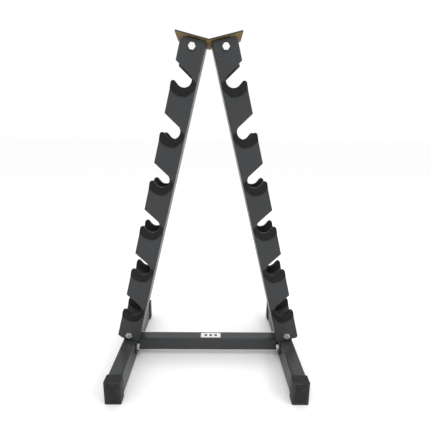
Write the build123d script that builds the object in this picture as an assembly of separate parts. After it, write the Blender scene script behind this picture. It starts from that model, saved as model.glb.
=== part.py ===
from build123d import *
from math import acos, asin, atan2, cos, degrees, hypot, radians, sin, sqrt, tan
import os

# Six-tier A-frame dumbbell rack, in millimetres.
# World frame: Z is up, Y runs from front (-) to back (+), X from left (-) to right (+),
# and the origin is on the floor under the middle of the rack.

# --- uprights: two folded sheet-steel channels that lean together ---
lean = 13.7                  # degrees from vertical
tiers = 6
tier_pitch = 128.0           # between cradle centres, along the upright
upright_width = 63.0         # flange, across the upright
upright_depth = 75.0         # outside to outside of the two flanges
sheet = 2.5
bend_inside = 1.5            # inside radius of the folds
top_margin = 96.0            # top cradle centre to the upper end
bottom_margin = 100.0        # lowest cradle centre to the lower end
ridge_half_gap = 6.3         # upper inner corner to the middle of the rack
top_corner = 8.5             # cut or rounding on the upper outer corners
bottom_corner_across = 13.0
bottom_corner_along = 7.0
mouth_corner_round = 3.0     # rounding of the mouth corners on the rounded flange

# --- cradle: a round seat with a horn outside and a sloping mouth above ---
seat_radius = 19.2
seat_across = 33.1           # seat centre from the web's outer face
mouth_rise = 38.7            # mouth corner above the seat centre
mouth_angle = 60.0           # degrees between the mouth's slope and the upright
mouth_fillet = 5.0
horn_beyond = 4.7            # centre of the horn's round tip, outside the seat's circle
horn_drop = 14.5
horn_radius = 6.8
horn_foot_drop = 27.8        # where the liner ends on the horn's outer side

# --- cradle liners: clipped plastic mouldings ---
liner_floor = 2.6            # thickness over the sheet's edge
liner_cheek = 3.4            # thickness of each cheek
liner_fit = 0.15             # clearance to the sheet
liner_top_rise = 4.6         # inner end above the seat centre
liner_nose = (-31.0, -1.4)   # outer corner of the inner end, from the seat centre
liner_waist = (-25.1, -24.9)  # the inner end's curve runs straight on from here
liner_keel = (-15.2, -37.3)  # lowest inner corner
liner_lip = 40.3             # lip below the seat centre
liner_nose_round = 4.0
liner_keel_round = 6.0
liner_edge = 0.7             # chamfer round the outer cheek
liner_nose_slope = 25.0      # degrees, of the inner end's upper edge
liner_bend_gap = 0.8         # between the inner cheek and the upright's fold
stud_place = (-15.5, -29.5)
stud_radius = 2.6
dimple_radius = 2.2
dimple_depth = 1.6

# --- top plate and brackets ---
plate = 3.5                  # V-plate thickness
plate_gap = 2.7              # V-plate above the ends of the uprights
plate_reach = 78.6           # V-plate's tip, from the web's outer face
plate_depth = 92.0
plate_corner_front = 2.5
plate_corner_back = 5.0
plate_bend = 2.5
bracket_sheet = 4.0
bracket_width = 34.0
bracket_height = 41.0
bracket_bend = 2.0
bracket_fit = 0.3            # between a bracket's lug and the flange
bracket_corner = 7.0

# --- feet, caps and cross beam ---
foot_width = 36.0
foot_height = 60.0
foot_wall = 2.0
foot_corner = 4.0
foot_shift = 1.5             # the foot's middle, outwards from the lower bolt
cap_wall = 3.0
cap_end = 4.0
cap_length = 26.0
cap_corner = 3.5
cap_fit = 0.1
cap_rim = 5.0
cap_recess = 1.0
overall_depth = 424.0
beam_size = 38.0
beam_wall = 2.0
beam_corner = 4.0
beam_drop = 5.0              # beam top below the foot top
beam_plate = 4.0
beam_plate_depth = 84.0
beam_plate_over = 1.5        # beam plate above and below the beam
beam_plate_corner = 6.0
label_size = (60.0, 24.0, 0.3)
label_corner = 2.0
label_shift = 8.0

# --- M10 fasteners ---
bolt_diameter = 10.0
bolt_hole = 10.6
bolt_length = 25.0
head_flats = 16.0
head_height = 6.4
head_chamfer = 30.0          # degrees, of the turned-off corners of heads and nuts
head_turn = 37.0             # each head stops this many degrees past the one before
bolt_point = 1.0             # chamfer at the bolt's tip
washer_outside = 20.0
washer_thick = 2.0
nut_height = 8.0
nut_collar = 2.0
nut_shoulder = 1.0           # collar inside the flats
nut_round = 1.2
nut_fit = 0.1
insert_body = 13.0
insert_flange = 16.0
insert_flange_thick = 0.8
insert_length = 16.0
insert_fit = 0.1
upright_bolt_across = 31.5   # bolt line from the web's outer face
top_bolt_drop = 18.5         # upper bolt below the end of the upright
base_bolt_rise = 13.6        # lower bolt above the lower end
base_bolt_height = 19.0      # lower bolt above the foot
beam_bolt_spread = 64.0      # between the two bolts of a beam plate

spare = 10.0                 # how far a cutting shape runs past what it cuts

# --- places that follow from the sizes above ---
upright_low = -(tiers - 1) * tier_pitch - bottom_margin
upright_length = top_margin - upright_low
foot_bottom = cap_wall
foot_top = foot_bottom + foot_height
beam_top = foot_top - beam_drop
beam_middle = beam_top - beam_size / 2
edge_across = upright_width - seat_across
horn_across = seat_radius + horn_beyond
flange_inside = upright_depth / 2 - sheet
lug_face = flange_inside - bracket_fit

# The upright's own frame: x across it and outwards, y up along it, z to the front;
# its origin is on the web's outer face, level with the top cradle, on the front face.
across = (cos(radians(lean)), sin(radians(lean)))
upward = (-sin(radians(lean)), cos(radians(lean)))
base_bolt_up = upright_low + base_bolt_rise
origin_x = ridge_half_gap - top_margin * upward[0]
origin_z = foot_top + base_bolt_height - upright_bolt_across * across[1] - base_bolt_up * upward[1]
upright_frame = Plane(
    origin=(origin_x, -upright_depth / 2, origin_z),
    x_dir=(across[0], 0, across[1]),
    z_dir=(0, -1, 0),
)


def in_world(x, y):
    """World X and Z of a point given across and up the right upright."""
    return origin_x + x * across[0] + y * upward[0], origin_z + x * across[1] + y * upward[1]


bolt_middle = in_world(upright_bolt_across, base_bolt_up)[0]
foot_middle = bolt_middle + foot_shift
foot_inside = foot_middle - foot_width / 2
plate_outside = foot_inside - insert_flange_thick
plate_inside = plate_outside - beam_plate
turned = Rot(0, 0, 180)      # the left half is the right half turned about Z


def polar(radius, angle, centre=(0.0, 0.0)):
    return centre[0] + radius * cos(radians(angle)), centre[1] + radius * sin(radians(angle))


def closed(*edges):
    """A face from edges that follow each other; the last gap is closed by a line."""
    last, first = edges[-1] @ 1, edges[0] @ 0
    return make_face([*edges, Line(last, first)])


def seat_edge(grow, start_angle):
    """Seat, horn flank, round horn tip and outer side, moved out by grow; about the seat centre."""
    seat, tip, centre = seat_radius + grow, horn_radius - grow, (horn_across, -horn_drop)
    toward_tip = degrees(atan2(centre[1], centre[0]))
    leave = toward_tip - degrees(acos((seat + tip) / hypot(*centre)))
    seat_start, seat_end = polar(seat, start_angle), polar(seat, leave + 360)
    foot = (edge_across - grow, -horn_foot_drop)
    down = (foot[0] - centre[0], foot[1] - centre[1])
    arrive = degrees(atan2(down[1], down[0]) + acos(tip / hypot(*down)))
    tip_start, tip_end = polar(tip, leave + 180, centre), polar(tip, arrive, centre)
    return [
        ThreePointArc(seat_start, polar(seat, (start_angle + leave + 360) / 2), seat_end),
        Line(seat_end, tip_start),
        ThreePointArc(tip_start, polar(tip, (leave + 180 + arrive) / 2, centre), tip_end),
        Line(tip_end, foot),
    ]


def mouth_start():
    """Where the mouth's slope runs into the seat's circle."""
    x, y = edge_across, mouth_rise
    dx, dy = -sin(radians(mouth_angle)), -cos(radians(mouth_angle))
    along = x * dx + y * dy
    run = -along + sqrt(along ** 2 - x ** 2 - y ** 2 + seat_radius ** 2)
    return (x + run * dx, y + run * dy), (x - 0.5 * run * dx, y - 0.5 * run * dy)


def opening():
    """The open space of a cradle, between mouth, liner seat and horn."""
    corner, outside = mouth_start()
    edges = seat_edge(0, degrees(atan2(corner[1], corner[0])))
    far = (outside[0], -horn_foot_drop)
    face = Sketch() + closed(Line(outside, corner), *edges, Line(edges[-1] @ 1, far))
    sharp = face.vertices().sort_by_distance((corner[0], corner[1], 0))[0]
    return fillet(sharp, mouth_fillet)


def pocket(grow, top, foot_gap):
    """The opening grown by the liner's floor, between the liner's two ends."""
    start = 180 - degrees(asin(top / (seat_radius + grow)))
    edges = seat_edge(grow, start)
    foot = edges[-1] @ 1
    low = (foot.X, foot.Y - foot_gap)
    far = edge_across + horn_radius
    path = [*edges]
    if foot_gap:
        path.append(Line(foot, low))
    path += [Line(low, (far, low[1])), Line((far, low[1]), (far, top))]
    return Sketch() + closed(*path)


def flange_face(rounded):
    """One flange of the upright, as a flat outline with its six cradles."""
    face = Pos(0, upright_low) * Rectangle(
        upright_width, upright_length, align=(Align.MIN, Align.MIN))
    notch = opening() + pocket(liner_floor + liner_fit, liner_top_rise + liner_fit, liner_fit)
    for tier in range(tiers):
        face -= Pos(seat_across, -tier * tier_pitch) * notch
        face -= Pos(seat_across + stud_place[0], stud_place[1] - tier * tier_pitch) * Circle(
            stud_radius + liner_fit)
    for height in (top_margin - top_bolt_drop, base_bolt_up):
        face -= Pos(upright_bolt_across, height) * Circle(bolt_hole / 2)

    def corner(height):
        return face.vertices().sort_by_distance((upright_width, height, 0))[0]

    if rounded:
        face = fillet(corner(top_margin), top_corner)
        face = fillet(corner(upright_low), bottom_corner_along)
        for tier in range(tiers):
            face = fillet(corner(mouth_rise - tier * tier_pitch), mouth_corner_round)
    else:
        face = chamfer(corner(top_margin), top_corner)
        face -= make_face(Polyline(
            (upright_width, upright_low + bottom_corner_along),
            (upright_width - bottom_corner_across, upright_low),
            (upright_width, upright_low), close=True))
    return face


def make_upright():
    """Right upright: a channel, open to the outside, with two notched flanges."""
    outer = Rectangle(upright_width + spare, upright_depth, align=(Align.MIN, Align.MAX))
    outer = fillet(outer.vertices().group_by(Axis.X)[0], bend_inside + sheet)
    inner = Pos(sheet, -sheet) * Rectangle(
        upright_width + spare, upright_depth - 2 * sheet, align=(Align.MIN, Align.MAX))
    inner = fillet(inner.vertices().group_by(Axis.X)[0], bend_inside)
    section = Plane.XZ * (outer - inner)
    blank = extrude(Pos(0, upright_low, 0) * section, upright_length, dir=(0, 1, 0))
    waste = Pos(-spare, upright_low - spare) * Rectangle(
        upright_width + 3 * spare, upright_length + 2 * spare, align=(Align.MIN, Align.MIN))
    half = upright_depth / 2
    front = extrude(waste - flange_face(True), half + spare)
    back = extrude(waste - flange_face(False), half + spare)
    solid = blank - Pos(0, 0, -half) * front - Pos(0, 0, -upright_depth - spare) * back
    return upright_frame * solid


def make_liner():
    """Right front liner: two cheeks joined by a curved floor over the sheet's edge."""
    free = opening()
    start = (0, liner_nose[1] - liner_nose[0] * tan(radians(liner_nose_slope)))
    onward = (liner_waist[0] - liner_keel[0], liner_waist[1] - liner_keel[1])
    foot = (edge_across, -horn_foot_drop)
    far = edge_across + horn_radius
    outline = Sketch() + closed(
        Line(start, liner_nose),
        TangentArc(liner_waist, liner_nose, tangent=onward),
        Line(liner_waist, liner_keel),
        ThreePointArc(liner_keel, (0, -liner_lip), foot),
        Line(foot, (far, foot[1])),
        Line((far, foot[1]), (far, start[1])),
    )

    def near(place):
        return outline.vertices().sort_by_distance((place[0], place[1], 0))[0]

    outline = fillet(near(liner_nose), liner_nose_round)
    outline = fillet(near(liner_keel), liner_keel_round)
    cheek = outline - free
    beside_fold = sheet + bend_inside + liner_bend_gap - seat_across
    inner_cheek = cheek & (Pos(beside_fold, 0) * Rectangle(
        upright_width, 2 * tier_pitch, align=(Align.MIN, Align.CENTER)))
    floor = pocket(liner_floor, liner_top_rise, 0) - free
    gap = sheet + 2 * liner_fit
    outside = extrude(cheek, liner_cheek)
    rim = outside.faces().sort_by(Axis.Z)[-1].outer_wire().edges()
    outside = chamfer(rim, liner_edge)
    body = Pos(0, 0, liner_fit) * outside
    body += Pos(0, 0, liner_fit - gap) * extrude(floor, gap)
    body += Pos(0, 0, liner_fit - gap - liner_cheek) * extrude(inner_cheek, liner_cheek)
    body += Pos(*stud_place, -sheet) * extrude(Circle(stud_radius), sheet + liner_fit)
    body -= Pos(*stud_place, liner_fit + liner_cheek - dimple_depth) * extrude(
        Circle(dimple_radius), dimple_depth)
    return body


def bracket_body(width, height):
    """A bent strip: its base at the bottom and two lugs up; x across, y front to back."""
    depth = 2 * lug_face
    outer = Rectangle(depth, height, align=(Align.CENTER, Align.MIN))
    outer = fillet(outer.vertices().group_by(Axis.Y)[0], bracket_bend + bracket_sheet)
    inner = Pos(0, bracket_sheet) * Rectangle(
        depth - 2 * bracket_sheet, height, align=(Align.CENTER, Align.MIN))
    inner = fillet(inner.vertices().group_by(Axis.Y)[0], bracket_bend)
    strip = extrude(Plane.YZ * (outer - inner), width / 2, both=True)
    corners = strip.edges().filter_by(Axis.Y).group_by(Axis.Z)[-1]
    return fillet(corners, bracket_corner)


def bracket_with_hole(hole_height):
    strip = bracket_body(bracket_width, bracket_height)
    return strip - Pos(0, 0, hole_height) * Rot(90, 0, 0) * Cylinder(bolt_hole / 2, upright_depth)


def make_base_bracket():
    """Right base bracket, standing on the foot between the upright's flanges."""
    return Pos(bolt_middle, 0, foot_top) * bracket_with_hole(base_bolt_height)


def top_bracket_place():
    """World place and tilt of the right top bracket, hung from the V-plate."""
    x, z = in_world(upright_bolt_across, top_margin + plate_gap)
    return Pos(x, 0, z) * Rot(0, 180 - lean, 0)


def make_top_bracket():
    return top_bracket_place() * bracket_with_hole(top_bolt_drop + plate_gap)


def make_top_plate():
    """V-plate over the ends of both uprights, square to each."""
    low = top_margin + plate_gap
    tip_low, tip_high = in_world(plate_reach, low), in_world(plate_reach, low + plate)
    slope = tan(radians(lean))
    apex_low = tip_low[1] - tip_low[0] * slope
    apex_high = tip_high[1] - tip_high[0] * slope
    outline = Sketch() + make_face(Polyline(
        (0, apex_low), tip_low, tip_high, (0, apex_high),
        (-tip_high[0], tip_high[1]), (-tip_low[0], tip_low[1]), close=True))
    bends = outline.vertices().sort_by(lambda vertex: abs(vertex.X))[:2].sort_by(Axis.Y)
    outline = fillet(bends[1], plate_bend)
    lower = outline.vertices().sort_by_distance((0, apex_low, 0))[0]
    outline = fillet(lower, plate_bend + plate)
    solid = extrude(Plane.XZ * outline, plate_depth / 2, both=True)
    tips = solid.faces().sort_by(Axis.X)
    ends = tips[0].edges() + tips[-1].edges()
    upright_edges = [edge for edge in ends if abs((edge % 0.5).Y) < 0.5]
    front = [edge for edge in upright_edges if edge.center().Y < 0]
    back = [edge for edge in upright_edges if edge.center().Y > 0]
    solid = fillet(front, plate_corner_front)
    corners = [
        edge for edge in solid.edges()
        if any((edge.center() - other.center()).length < 0.01 for other in back)]
    return fillet(corners, plate_corner_back)


def make_foot():
    """Right foot: a rectangular tube, front to back, drilled on top-side and beam side."""
    length = overall_depth - 2 * (cap_end + cap_fit)
    ring = RectangleRounded(foot_width, foot_height, foot_corner)
    ring -= RectangleRounded(
        foot_width - 2 * foot_wall, foot_height - 2 * foot_wall, foot_corner - foot_wall)
    middle = Pos(foot_middle, 0, foot_bottom + foot_height / 2)
    tube = middle * extrude(Plane.XZ * ring, length / 2, both=True)
    for side in (-1, 1):
        drill = Rot(0, 90, 0) * Cylinder(insert_body / 2 + insert_fit, foot_width)
        tube -= Pos(foot_inside, side * beam_bolt_spread / 2, beam_middle) * drill
    return tube


def make_foot_cap():
    """Right front cap: a moulded cup over the end of the foot, with a rimmed face."""
    width, height = foot_width + 2 * cap_wall, foot_height + 2 * cap_wall
    block = extrude(Plane.XZ * RectangleRounded(width, height, cap_corner), cap_length / 2, both=True)
    face_rim = block.faces().sort_by(Axis.Y)[0].edges()
    block = fillet(face_rim, cap_recess)
    bore = RectangleRounded(foot_width + 2 * cap_fit, foot_height + 2 * cap_fit, foot_corner)
    block -= Pos(0, cap_end + cap_fit, 0) * extrude(Plane.XZ * bore, cap_length / 2, both=True)
    panel = RectangleRounded(width - 2 * cap_rim, height - 2 * cap_rim, cap_corner / 2)
    block -= Pos(0, -cap_length / 2, 0) * extrude(Plane.XZ * panel, cap_recess, both=True)
    front = -overall_depth / 2 + cap_length / 2
    return Pos(foot_middle, front, foot_bottom + foot_height / 2) * block


def make_beam():
    """Cross beam: a square tube between the two beam plates."""
    ring = RectangleRounded(beam_size, beam_size, beam_corner)
    ring -= RectangleRounded(
        beam_size - 2 * beam_wall, beam_size - 2 * beam_wall, beam_corner - beam_wall)
    return Pos(0, 0, beam_middle) * extrude(Plane.YZ * ring, plate_inside, both=True)


def make_beam_plate():
    """Right beam plate: welded to the beam's end and bolted to the foot."""
    face = RectangleRounded(beam_plate_depth, beam_size + 2 * beam_plate_over, beam_plate_corner)
    for side in (-1, 1):
        face -= Pos(side * beam_bolt_spread / 2, 0) * Circle(bolt_hole / 2)
    return Pos(plate_inside, 0, beam_middle) * extrude(Plane.YZ * face, beam_plate)


def make_label():
    """A blank label on the beam's top face."""
    width, depth, thick = label_size
    return Pos(label_shift, 0, beam_top) * extrude(
        RectangleRounded(width, depth, label_corner), thick)


def hex_block(height):
    """A hexagon with its upper corners turned off, standing on z = 0."""
    block = extrude(RegularPolygon(head_flats / 2, 6, major_radius=False), height)
    radius = head_flats / 2
    turned_off = Cone(radius + height / tan(radians(head_chamfer)), radius, height,
                      align=(Align.CENTER, Align.CENTER, Align.MIN))
    return block & turned_off


def make_bolt():
    """Hexagon head above z = 0, shank below it."""
    head = hex_block(head_height)
    shank = Pos(0, 0, -bolt_length) * Cylinder(
        bolt_diameter / 2, bolt_length, align=(Align.CENTER, Align.CENTER, Align.MIN))
    tip = shank.edges().sort_by(Axis.Z)[0]
    return head + chamfer(tip, bolt_point)


def make_washer():
    ring = Circle(washer_outside / 2) - Circle(bolt_hole / 2)
    return extrude(ring, washer_thick)


def make_nut():
    """Locknut with a rounded collar, standing on z = 0."""
    collar = Pos(0, 0, nut_height) * Cylinder(
        head_flats / 2 - nut_shoulder, nut_collar, align=(Align.CENTER, Align.CENTER, Align.MIN))
    collar = fillet(collar.edges().sort_by(Axis.Z)[-1], nut_round)
    body = hex_block(nut_height) + collar
    bore = Cylinder(bolt_diameter / 2 + nut_fit, 4 * nut_height)
    return body - bore


def make_insert():
    """Threaded insert: thin flange above z = 0, body below it."""
    flange = extrude(Circle(insert_flange / 2), insert_flange_thick)
    body = Pos(0, 0, -insert_length) * extrude(Circle(insert_body / 2), insert_length)
    bore = Cylinder(bolt_diameter / 2 + nut_fit, 4 * insert_length)
    return flange + body - bore


def export(name, shape):
    export_step(shape, "parts/" + name + ".step")


def group(shapes):
    return Compound(children=[Part() + shape for shape in shapes])


def bolts_at(spots):
    """A bolt at each spot, every head turned a little further than the last."""
    return group([
        spot * Rot(0, 0, number * head_turn) * make_bolt() for number, spot in enumerate(spots)])


def both_ends(place):
    """Places on the front and the back flange, z pointing away from the rack."""
    x, z = place
    face = upright_depth / 2
    return [Pos(x, -face, z) * Rot(90, 0, 0), Pos(x, face, z) * Rot(-90, 0, 0)]


def four(places):
    """The same places on the right and on the left half."""
    return list(places) + [turned * place for place in places]


def make_flange_fasteners(name, place):
    """Bolt, washer and nut through each flange and its lug, at one height."""
    x, z = place
    bolts = four(both_ends(place))
    lug_inside = lug_face - bracket_sheet
    inward = [Pos(x, -lug_inside, z) * Rot(-90, 0, 0), Pos(x, lug_inside, z) * Rot(90, 0, 0)]
    export(name + "_bolts", bolts_at(bolts))
    export(name + "_washers", group([spot * make_washer() for spot in four(inward)]))
    lifted = [spot * Pos(0, 0, washer_thick) for spot in four(inward)]
    export(name + "_nuts", group([spot * make_nut() for spot in lifted]))


def make_beam_fasteners():
    """Bolts from the beam plates into threaded inserts in the feet."""
    spots = [side * beam_bolt_spread / 2 for side in (-1, 1)]
    heads = [Pos(plate_inside, y, beam_middle) * Rot(0, -90, 0) for y in spots]
    walls = [Pos(foot_inside, y, beam_middle) * Rot(0, -90, 0) for y in spots]
    export("beam_bolts", bolts_at(four(heads)))
    export("foot_inserts", group([spot * make_insert() for spot in four(walls)]))


def main():
    os.makedirs("parts", exist_ok=True)
    upright = make_upright()
    export("right_upright", upright)
    export("left_upright", turned * upright)

    liner = make_liner()
    back_side = mirror(upright_frame * liner, about=Plane.XZ)
    front_side = upright_frame * liner
    for tier in range(tiers):
        x, z = in_world(seat_across, -tier * tier_pitch)
        x0, z0 = in_world(0, 0)
        shift = Pos(x - x0, 0, z - z0)
        front, back = shift * front_side, shift * back_side
        number = str(tier + 1)
        export("right_front_liner_" + number, front)
        export("right_rear_liner_" + number, back)
        export("left_front_liner_" + number, turned * back)
        export("left_rear_liner_" + number, turned * front)

    pairs = {
        "top_bracket": make_top_bracket(),
        "base_bracket": make_base_bracket(),
        "foot": make_foot(),
        "beam_plate": make_beam_plate(),
    }
    for name, shape in pairs.items():
        export("right_" + name, shape)
        export("left_" + name, turned * shape)

    cap = make_foot_cap()
    back_cap = mirror(cap, about=Plane.XZ)
    export("right_front_foot_cap", cap)
    export("right_rear_foot_cap", back_cap)
    export("left_front_foot_cap", turned * back_cap)
    export("left_rear_foot_cap", turned * cap)

    export("top_plate", make_top_plate())
    export("cross_beam", make_beam())
    export("beam_label", make_label())
    make_flange_fasteners("top", in_world(upright_bolt_across, top_margin - top_bolt_drop))
    make_flange_fasteners("base", in_world(upright_bolt_across, base_bolt_up))
    make_beam_fasteners()


main()
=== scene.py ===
from math import cos, radians, sin

import bmesh
import bpy
from bpy.props import FloatProperty, FloatVectorProperty, PointerProperty
from mathutils import Matrix, Vector


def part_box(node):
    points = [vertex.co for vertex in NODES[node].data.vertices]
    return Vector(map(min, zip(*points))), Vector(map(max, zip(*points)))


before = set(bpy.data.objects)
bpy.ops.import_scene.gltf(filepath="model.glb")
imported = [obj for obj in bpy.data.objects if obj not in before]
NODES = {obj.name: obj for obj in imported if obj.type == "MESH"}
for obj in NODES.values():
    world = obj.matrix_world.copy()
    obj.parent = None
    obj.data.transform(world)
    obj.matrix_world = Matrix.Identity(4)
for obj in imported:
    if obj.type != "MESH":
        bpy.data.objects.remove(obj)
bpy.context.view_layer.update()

bl_info = {
    "name": "Dumbbell Rack",
    "version": (1, 0, 0),
    "blender": (4, 5, 0),
    "location": "View3D > Sidebar > Rack",
    "description": "Finishes, rounded edges and the stage of an A-frame dumbbell rack",
    "category": "Object",
}

MM = 0.001

STEEL_EDGE = 0.4 * MM        # rounding of the coated steel's edges
CAP_EDGE = 0.5 * MM
WELD_REACH = 0.01 * MM       # points this close are one, before edges are rounded
FLAT_ANGLE = 0.02            # radians; facets this near to flat are merged
SHARP_ANGLE = 0.6            # radians; edges sharper than this are rounded

CAP_OUTER_LINE = 1.1 * MM    # painted highlight line along the cap's outer edge
CAP_PANEL_AT = 4.6 * MM      # painted highlight line round the recessed panel, from the outer edge
CAP_PANEL_LINE = 0.5 * MM

LABEL_MARGIN = 2.0 * MM
LABEL_LINE = 0.9 * MM
LABEL_BAR = (4.5 * MM, 5.0 * MM)   # half size of each bar
LABEL_BAR_STEP = 15 * MM

FLOOR_SIZE = 60.0
KEY_PLACE, KEY_SIZE = (1.7, -1.5, 2.1), (0.7, 0.7)
OVERHEAD_PLACE, OVERHEAD_SIZE = (0.1, -1.5, 2.7), (1.2, 1.2)
BACK_PLACE, BACK_SIZE = (0.0, 2.2, 2.3), (2.4, 1.0)
RACK_MIDDLE = (0.0, 0.0, 0.4)
RACK_FEET = (0.0, 0.0, 0.1)


# ---------------------------------------------------------------- settings

class RackFinishSettings(bpy.types.PropertyGroup):
    """Colours and coat roughness of the rack's finishes."""
    coat_colour: FloatVectorProperty(
        name="Powder coat", description="Colour of the coated steel",
        subtype="COLOR", size=3, min=0, max=1, default=(0.033, 0.0345, 0.036))
    coat_roughness: FloatProperty(
        name="Coat roughness", description="Sheen of the powder coat",
        subtype="FACTOR", min=0, max=1, default=0.36)
    # Painted warm bounce light: a warm colour put on the top plate's down-facing faces in place of light
    # reflected up from below.
    painted_bounce_colour: FloatVectorProperty(
        name="Painted bounce", description="Colour of the thin coat under the top plate",
        subtype="COLOR", size=3, min=0, max=1, default=(0.20, 0.125, 0.035))
    liner_colour: FloatVectorProperty(
        name="Liner plastic", description="Colour of the cradle liners",
        subtype="COLOR", size=3, min=0, max=1, default=(0.003, 0.003, 0.003))
    cap_colour: FloatVectorProperty(
        name="Cap plastic", description="Colour of the foot caps",
        subtype="COLOR", size=3, min=0, max=1, default=(0.012, 0.013, 0.014))
    # Painted highlight: a light colour put along the caps' end-face edges in place of light caught by
    # the rounded rims.
    rim_highlight_colour: FloatVectorProperty(
        name="Rim highlight", description="Colour of the caps' worn edges",
        subtype="COLOR", size=3, min=0, max=1, default=(0.11, 0.12, 0.13))
    zinc_colour: FloatVectorProperty(
        name="Zinc", description="Colour of the plated fasteners",
        subtype="COLOR", size=3, min=0, max=1, default=(0.88, 0.89, 0.90))
    label_colour: FloatVectorProperty(
        name="Label", description="Ground colour of the beam label",
        subtype="COLOR", size=3, min=0, max=1, default=(0.82, 0.82, 0.80))


class RackStageSettings(bpy.types.PropertyGroup):
    """Camera, lights and floor."""
    camera_distance: FloatProperty(
        name="Camera distance", description="From the uprights' front face to the camera",
        unit="LENGTH", default=0.8790)
    camera_height: FloatProperty(
        name="Camera height", description="Camera above the floor", unit="LENGTH", default=0.6516)
    camera_aside: FloatProperty(
        name="Camera aside", description="Camera to the right of the middle",
        unit="LENGTH", default=0.0120)
    camera_pitch: FloatProperty(
        name="Pitch", description="Camera turned down", subtype="ANGLE", default=radians(13.18))
    camera_yaw: FloatProperty(
        name="Yaw", description="Camera turned right", subtype="ANGLE", default=radians(0.38))
    camera_roll: FloatProperty(
        name="Roll", description="Camera rolled", subtype="ANGLE", default=radians(0.464))
    camera_lens: FloatProperty(
        name="Lens", description="Focal length on a 36 mm wide sensor, in millimetres", default=28.02)
    surround: FloatProperty(
        name="Surround", description="Strength of the white surround", min=0, default=1.0)
    key_light: FloatProperty(
        name="Key light", description="Power of the light on the right, in watts", min=0, default=12.0)
    overhead_light: FloatProperty(
        name="Overhead light", description="Power of the light above, in watts", min=0, default=16.0)
    back_light: FloatProperty(
        name="Back light", description="Power of the softbox behind, in watts", min=0, default=11.0)
    floor_colour: FloatVectorProperty(
        name="Floor", description="Colour of the floor", subtype="COLOR", size=3,
        min=0, max=1, default=(0.98, 0.98, 0.98))


# ---------------------------------------------------------------- materials

class Surface:
    """A node material under construction."""

    def __init__(self, name):
        self.material = bpy.data.materials.new(name)
        self.material.use_nodes = True
        self.nodes = self.material.node_tree.nodes
        self.links = self.material.node_tree.links
        self.shader = self.nodes["Principled BSDF"]
        self.place = self.nodes.new("ShaderNodeTexCoord").outputs["Object"]

    def set(self, **values):
        for name, value in values.items():
            self.shader.inputs[name.replace("_", " ")].default_value = value

    def node(self, kind, **settings):
        node = self.nodes.new(kind)
        for name, value in settings.items():
            setattr(node, name, value)
        return node

    def noise(self, scale, detail=2.0, roughness=0.5):
        """Noise with the given number of cells to the metre."""
        node = self.node("ShaderNodeTexNoise")
        node.inputs["Scale"].default_value = scale
        node.inputs["Detail"].default_value = detail
        node.inputs["Roughness"].default_value = roughness
        self.links.new(self.place, node.inputs["Vector"])
        return node.outputs["Fac"]

    def spread(self, value, low, high, at=(0.3, 0.7)):
        """Maps a noise value onto a range."""
        node = self.node("ShaderNodeMapRange")
        node.inputs["From Min"].default_value = at[0]
        node.inputs["From Max"].default_value = at[1]
        node.inputs["To Min"].default_value = low
        node.inputs["To Max"].default_value = high
        self.links.new(value, node.inputs["Value"])
        return node.outputs["Result"]

    def mix(self, factor, first, second):
        """Colour mix; each colour is an RGB triple or an output."""
        node = self.node("ShaderNodeMix", data_type="RGBA")
        for socket, value in ((node.inputs[6], first), (node.inputs[7], second)):
            if isinstance(value, bpy.types.NodeSocket):
                self.links.new(value, socket)
            else:
                socket.default_value = (*value, 1.0)
        self.links.new(factor, node.inputs["Factor"])
        return node.outputs[2]

    def maths(self, operation, first, second=0.0):
        node = self.node("ShaderNodeMath", operation=operation)
        for socket, value in zip(node.inputs, (first, second)):
            if isinstance(value, bpy.types.NodeSocket):
                self.links.new(value, socket)
            else:
                socket.default_value = value
        return node.outputs[0]

    def feed(self, name, output):
        self.links.new(output, self.shader.inputs[name])

    def bump(self, *layers, soften=0.0):
        """Bump from (height, strength, distance) layers over slightly rounded edges."""
        normal = None
        if soften:
            rounded = self.node("ShaderNodeBevel", samples=4)
            rounded.inputs["Radius"].default_value = soften
            normal = rounded.outputs["Normal"]
        for height, strength, distance in layers:
            node = self.node("ShaderNodeBump")
            node.inputs["Strength"].default_value = strength
            node.inputs["Distance"].default_value = distance
            self.links.new(height, node.inputs["Height"])
            if normal:
                self.links.new(normal, node.inputs["Normal"])
            normal = node.outputs["Normal"]
        self.feed("Normal", normal)


def scaled(colour, factor):
    return tuple(min(1.0, part * factor) for part in colour)


def coat_layers(surface, settings):
    """Colour of a powder coat with soft patches and speckle; also sets its fine grain."""
    base = tuple(settings.coat_colour)
    patches = surface.spread(surface.noise(9.0, 3.0), 0.0, 1.0)
    speckle = surface.spread(surface.noise(2600.0, 2.0), 0.0, 1.0, at=(0.35, 0.65))
    colour = surface.mix(patches, scaled(base, 0.93), scaled(base, 1.08))
    colour = surface.mix(surface.maths("MULTIPLY", speckle, 0.22), colour, scaled(base, 1.9))
    grain = surface.noise(1500.0, 3.0, 0.6)
    peel = surface.noise(330.0, 1.0)
    surface.bump((peel, 0.10, 0.0008), (grain, 0.16, 0.00022))
    surface.set(Specular_IOR_Level=0.22)
    return colour


def powder_coat(settings):
    surface = Surface("coat_finish")
    surface.feed("Base Color", coat_layers(surface, settings))
    sheen = surface.spread(surface.noise(22.0, 4.0), settings.coat_roughness - 0.05,
                           settings.coat_roughness + 0.07)
    surface.feed("Roughness", sheen)
    return surface.material


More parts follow.
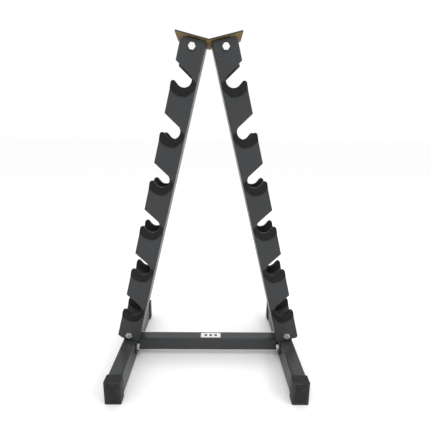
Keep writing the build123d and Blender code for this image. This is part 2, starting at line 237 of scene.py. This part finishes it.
def coat_with_painted_bounce(settings):
    """Powder coat above, and painted warm bounce light (an ochre colour) on the faces that look down."""
    surface = Surface("coat_with_painted_bounce_finish")
    coat = coat_layers(surface, settings)
    # painted bounce light: a warm colour standing in for light reflected onto the underside, blotched at
    # random
    painted_bounce = tuple(settings.painted_bounce_colour)
    blotch = surface.spread(surface.noise(60.0, 5.0, 0.65), 0.0, 1.0)
    painted_bounce = surface.mix(blotch, scaled(painted_bounce, 0.75), scaled(painted_bounce, 1.25))
    # mask of the faces that look down, where the painted warm bounce light goes into the colour
    geometry = surface.node("ShaderNodeNewGeometry")
    split = surface.node("ShaderNodeSeparateXYZ")
    surface.links.new(geometry.outputs["True Normal"], split.inputs[0])
    underside = surface.spread(split.outputs["Z"], 1.0, 0.0, at=(-0.8, -0.6))
    surface.feed("Base Color", surface.mix(underside, coat, painted_bounce))
    surface.feed("Roughness", surface.maths("ADD", surface.maths("MULTIPLY", underside, 0.3), 0.38))
    return surface.material


def liner_plastic(settings):
    surface = Surface("liner_finish")
    base = tuple(settings.liner_colour)
    patches = surface.spread(surface.noise(35.0, 3.0), 0.0, 1.0)
    surface.feed("Base Color", surface.mix(patches, scaled(base, 0.85), scaled(base, 1.35)))
    surface.feed("Roughness", surface.spread(surface.noise(90.0, 3.0), 0.42, 0.56))
    surface.bump((surface.noise(1900.0, 2.0), 0.12, 0.0002), soften=0.0005)
    surface.set(Specular_IOR_Level=0.25)
    return surface.material


def cap_plastic(settings):
    """Moulded plastic: satin sides and a coarse spark-eroded grain on the end face, with painted
    highlight lines along the end face's outer edge and round its recessed panel.
    """
    surface = Surface("cap_finish")
    base = tuple(settings.cap_colour)
    patches = surface.spread(surface.noise(70.0, 5.0, 0.7), 0.0, 1.0)
    mottled = surface.mix(patches, scaled(base, 0.6), scaled(base, 1.6))
    surface.feed("Roughness", surface.spread(surface.noise(160.0, 3.0), 0.45, 0.62))
    geometry = surface.node("ShaderNodeNewGeometry")
    split = surface.node("ShaderNodeSeparateXYZ")
    surface.links.new(geometry.outputs["True Normal"], split.inputs[0])
    end_face = surface.spread(surface.maths("ABSOLUTE", split.outputs["Y"]), 0.0, 1.0, at=(0.9, 0.98))
    coarse = surface.maths("MULTIPLY", surface.noise(420.0, 4.0, 0.65), end_face)
    low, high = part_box("right_front_foot_cap")
    middle, half = (low + high) / 2, (high - low) / 2
    position = surface.node("ShaderNodeSeparateXYZ")
    surface.links.new(surface.place, position.inputs[0])
    aside = surface.maths("ABSOLUTE", surface.maths(
        "SUBTRACT", surface.maths("ABSOLUTE", position.outputs["X"]), middle.x))
    height = surface.maths("ABSOLUTE", surface.maths("SUBTRACT", position.outputs["Z"], middle.z))
    from_edge = surface.maths("MINIMUM", surface.maths("SUBTRACT", half.x, aside),
                              surface.maths("SUBTRACT", half.z, height))
    # painted highlight lines on the end face, along its outer edge and round the recessed panel, broken
    # up at random
    outer_line = surface.maths("LESS_THAN", from_edge, CAP_OUTER_LINE)
    panel_line = surface.maths("LESS_THAN", surface.maths("ABSOLUTE", surface.maths(
        "SUBTRACT", from_edge, CAP_PANEL_AT)), CAP_PANEL_LINE)
    rim_highlight = surface.maths("MULTIPLY", surface.maths("MAXIMUM", outer_line, panel_line), end_face)
    rim_highlight = surface.maths("MULTIPLY", rim_highlight, surface.spread(surface.noise(230.0, 3.0), 0.25, 1.0))
    surface.feed("Base Color", surface.mix(rim_highlight, mottled, tuple(settings.rim_highlight_colour)))
    surface.bump((coarse, 0.55, 0.0011), (surface.noise(1500.0, 2.0), 0.12, 0.0002), soften=0.0006)
    surface.set(Specular_IOR_Level=0.2)
    return surface.material


def zinc_plate(settings):
    """Bright zinc with faint blue and straw passivation and light handling marks."""
    surface = Surface("zinc_finish")
    base = tuple(settings.zinc_colour)
    tint = surface.spread(surface.noise(140.0, 2.0), 0.0, 1.0)
    cool = (base[0] * 0.93, base[1] * 0.98, base[2] * 1.04)
    warm = (base[0], base[1] * 0.97, base[2] * 0.88)
    surface.feed("Base Color", surface.mix(tint, cool, warm))
    surface.set(Metallic=1.0)
    surface.feed("Roughness", surface.spread(surface.noise(480.0, 4.0), 0.26, 0.40))
    surface.bump((surface.noise(900.0, 3.0), 0.03, 0.0003), soften=0.0003)
    return surface.material


def label_film(settings):
    """White film with a plain frame line and three solid bars."""
    surface = Surface("label_finish")
    low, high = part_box("beam_label")
    middle, half = (low + high) / 2, (high - low) / 2
    split = surface.node("ShaderNodeSeparateXYZ")
    surface.links.new(surface.place, split.inputs[0])
    x = surface.maths("SUBTRACT", split.outputs["X"], middle.x)
    y = surface.maths("SUBTRACT", split.outputs["Y"], middle.y)

    def inside(value, reach):
        return surface.maths("LESS_THAN", surface.maths("ABSOLUTE", value), reach)

    def block(reach_x, reach_y, at_x=0.0):
        across = inside(surface.maths("SUBTRACT", x, at_x), reach_x)
        return surface.maths("MULTIPLY", across, inside(y, reach_y))

    outer = block(half.x - LABEL_MARGIN, half.y - LABEL_MARGIN)
    inner = block(half.x - LABEL_MARGIN - LABEL_LINE, half.y - LABEL_MARGIN - LABEL_LINE)
    ink = surface.maths("SUBTRACT", outer, inner)
    for at_x in (-LABEL_BAR_STEP, 0.0, LABEL_BAR_STEP):
        ink = surface.maths("ADD", ink, block(*LABEL_BAR, at_x))
    ground = tuple(settings.label_colour)
    surface.feed("Base Color", surface.mix(ink, ground, (0.03, 0.03, 0.035)))
    surface.feed("Roughness", surface.spread(surface.noise(300.0, 2.0), 0.25, 0.38))
    return surface.material


FINISHES = {
    "coat_finish": powder_coat,
    "coat_with_painted_bounce_finish": coat_with_painted_bounce,
    "liner_finish": liner_plastic,
    "cap_finish": cap_plastic,
    "zinc_finish": zinc_plate,
    "label_finish": label_film,
}


def finish(name):
    """The named material, made on first use."""
    if name not in bpy.data.materials:
        FINISHES[name](bpy.context.scene.rack_finish)
    return bpy.data.materials[name]


def coat_node(name, material, edge=0.0):
    """Gives a CAD node its material and, with edge, slightly rounded edges."""
    node = NODES[name]
    node.data.materials.clear()
    node.data.materials.append(finish(material))
    if edge:
        weld = node.modifiers.new("weld", "WELD")
        weld.merge_threshold = WELD_REACH
        flat = node.modifiers.new("flat_faces", "DECIMATE")
        flat.decimate_type = "DISSOLVE"
        flat.angle_limit = FLAT_ANGLE
        rounding = node.modifiers.new("rounded_edges", "BEVEL")
        rounding.width = edge
        rounding.segments = 2
        rounding.limit_method = "ANGLE"
        rounding.angle_limit = SHARP_ANGLE
        rounding.harden_normals = True


# ---------------------------------------------------------------- operators

class RackFinishOperator:
    """Shared by the operators that finish CAD nodes."""
    bl_options = {"REGISTER", "UNDO"}
    finish_name = ""
    edge = 0.0

    def wanted(self, name):
        raise NotImplementedError

    def execute(self, context):
        chosen = [name for name in NODES if self.wanted(name)]
        if not chosen:
            raise RuntimeError("no node takes the finish " + self.finish_name)
        for name in chosen:
            coat_node(name, self.finish_name, self.edge)
        return {"FINISHED"}


class RACK_OT_coated_steel(RackFinishOperator, bpy.types.Operator):
    """Powder coat on the uprights, feet, beam and brackets"""
    bl_idname = "rack.coated_steel"
    bl_label = "Coated steel"
    finish_name = "coat_finish"
    edge = STEEL_EDGE

    def wanted(self, name):
        ends = ("upright", "foot", "bracket", "cross_beam", "beam_plate")
        return name.endswith(ends)


class RACK_OT_top_plate(RackFinishOperator, bpy.types.Operator):
    """Powder coat with painted warm bounce light under the V plate"""
    bl_idname = "rack.top_plate"
    bl_label = "Top plate"
    finish_name = "coat_with_painted_bounce_finish"
    edge = STEEL_EDGE

    def wanted(self, name):
        return name == "top_plate"


class RACK_OT_liners(RackFinishOperator, bpy.types.Operator):
    """Black plastic on the cradle liners"""
    bl_idname = "rack.liners"
    bl_label = "Cradle liners"
    finish_name = "liner_finish"

    def wanted(self, name):
        return "_liner_" in name


class RACK_OT_foot_caps(RackFinishOperator, bpy.types.Operator):
    """Grained plastic on the foot caps"""
    bl_idname = "rack.foot_caps"
    bl_label = "Foot caps"
    finish_name = "cap_finish"
    edge = CAP_EDGE

    def wanted(self, name):
        return name.endswith("foot_cap")


class RACK_OT_fasteners(RackFinishOperator, bpy.types.Operator):
    """Zinc plate on the bolts, washers, nuts and inserts"""
    bl_idname = "rack.fasteners"
    bl_label = "Fasteners"
    finish_name = "zinc_finish"

    def wanted(self, name):
        return name.endswith(("bolts", "washers", "nuts", "inserts"))


class RACK_OT_label(RackFinishOperator, bpy.types.Operator):
    """Plain printed film on the beam label"""
    bl_idname = "rack.label"
    bl_label = "Beam label"
    finish_name = "label_finish"

    def wanted(self, name):
        return name == "beam_label"


def add_light(name, size, energy, place, target):
    """A soft rectangular light at place, aimed at target."""
    data = bpy.data.lights.new(name, "AREA")
    data.shape = "RECTANGLE"
    data.size, data.size_y = size
    data.energy = energy
    light = bpy.data.objects.new(name, data)
    bpy.context.scene.collection.objects.link(light)
    light.location = place
    aim = Vector(target) - Vector(place)
    light.rotation_euler = aim.to_track_quat("-Z", "Y").to_euler()


class RACK_OT_stage(bpy.types.Operator):
    """Pale floor, soft lights and the camera"""
    bl_idname = "rack.stage"
    bl_label = "Stage"
    bl_options = {"REGISTER", "UNDO"}

    def execute(self, context):
        settings = context.scene.rack_stage
        self.add_floor(settings)
        self.add_lights(context.scene, settings)
        self.add_camera(context.scene, settings)
        return {"FINISHED"}

    def add_floor(self, settings):
        build = bmesh.new()
        bmesh.ops.create_grid(build, x_segments=1, y_segments=1, size=FLOOR_SIZE)
        mesh = bpy.data.meshes.new("floor")
        build.to_mesh(mesh)
        build.free()
        floor = bpy.data.objects.new("floor", mesh)
        bpy.context.scene.collection.objects.link(floor)
        surface = Surface("floor_paint")
        surface.shader.inputs["Base Color"].default_value = (*settings.floor_colour, 1.0)
        surface.set(Roughness=0.8)
        mesh.materials.append(surface.material)

    def add_lights(self, scene, settings):
        """A white surround, a key on the right, a light above and a softbox behind."""
        world = bpy.data.worlds.new("studio")
        world.use_nodes = True
        background = world.node_tree.nodes["Background"]
        background.inputs["Color"].default_value = (1.0, 1.0, 1.0, 1.0)
        background.inputs["Strength"].default_value = settings.surround
        scene.world = world
        scene.view_settings.view_transform = "Standard"
        add_light("key_light", KEY_SIZE, settings.key_light, KEY_PLACE, RACK_MIDDLE)
        add_light("overhead_light", OVERHEAD_SIZE, settings.overhead_light, OVERHEAD_PLACE,
                  RACK_MIDDLE)
        add_light("back_softbox", BACK_SIZE, settings.back_light, BACK_PLACE, RACK_FEET)

    def add_camera(self, scene, settings):
        data = bpy.data.cameras.new("camera")
        data.sensor_width = 36.0
        data.lens = settings.camera_lens
        camera = bpy.data.objects.new("camera", data)
        scene.collection.objects.link(camera)
        yaw, pitch, roll = settings.camera_yaw, settings.camera_pitch, settings.camera_roll
        forward = Vector((sin(yaw) * cos(pitch), cos(yaw) * cos(pitch), -sin(pitch)))
        level = Vector((cos(yaw), -sin(yaw), 0.0))
        above = level.cross(forward)
        right = level * cos(roll) + above * sin(roll)
        up = above * cos(roll) - level * sin(roll)
        turn = Matrix((right, up, -forward)).transposed()
        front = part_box("right_upright")[0].y
        place = Vector((settings.camera_aside, front - settings.camera_distance, settings.camera_height))
        camera.matrix_world = Matrix.Translation(place) @ turn.to_4x4()
        scene.camera = camera


class RACK_PT_panel(bpy.types.Panel):
    """Lists the rack's operators"""
    bl_label = "Dumbbell Rack"
    bl_idname = "RACK_PT_panel"
    bl_space_type = "VIEW_3D"
    bl_region_type = "UI"
    bl_category = "Rack"

    def draw(self, context):
        for operator in PIECES:
            self.layout.operator(operator.bl_idname)
        for group in (context.scene.rack_finish, context.scene.rack_stage):
            column = self.layout.column()
            for name in group.__annotations__:
                column.prop(group, name)


PIECES = (
    RACK_OT_stage,
    RACK_OT_coated_steel,
    RACK_OT_top_plate,
    RACK_OT_liners,
    RACK_OT_foot_caps,
    RACK_OT_fasteners,
    RACK_OT_label,
)
CLASSES = (RackFinishSettings, RackStageSettings, *PIECES, RACK_PT_panel)


def register():
    for cls in CLASSES:
        bpy.utils.register_class(cls)
    bpy.types.Scene.rack_finish = PointerProperty(type=RackFinishSettings)
    bpy.types.Scene.rack_stage = PointerProperty(type=RackStageSettings)


def unregister():
    del bpy.types.Scene.rack_stage
    del bpy.types.Scene.rack_finish
    for cls in reversed(CLASSES):
        bpy.utils.unregister_class(cls)


def main():
    register()
    bpy.ops.rack.stage()
    bpy.ops.rack.coated_steel()
    bpy.ops.rack.top_plate()
    bpy.ops.rack.liners()
    bpy.ops.rack.foot_caps()
    bpy.ops.rack.fasteners()
    bpy.ops.rack.label()


if __name__ == "__main__":
    main()
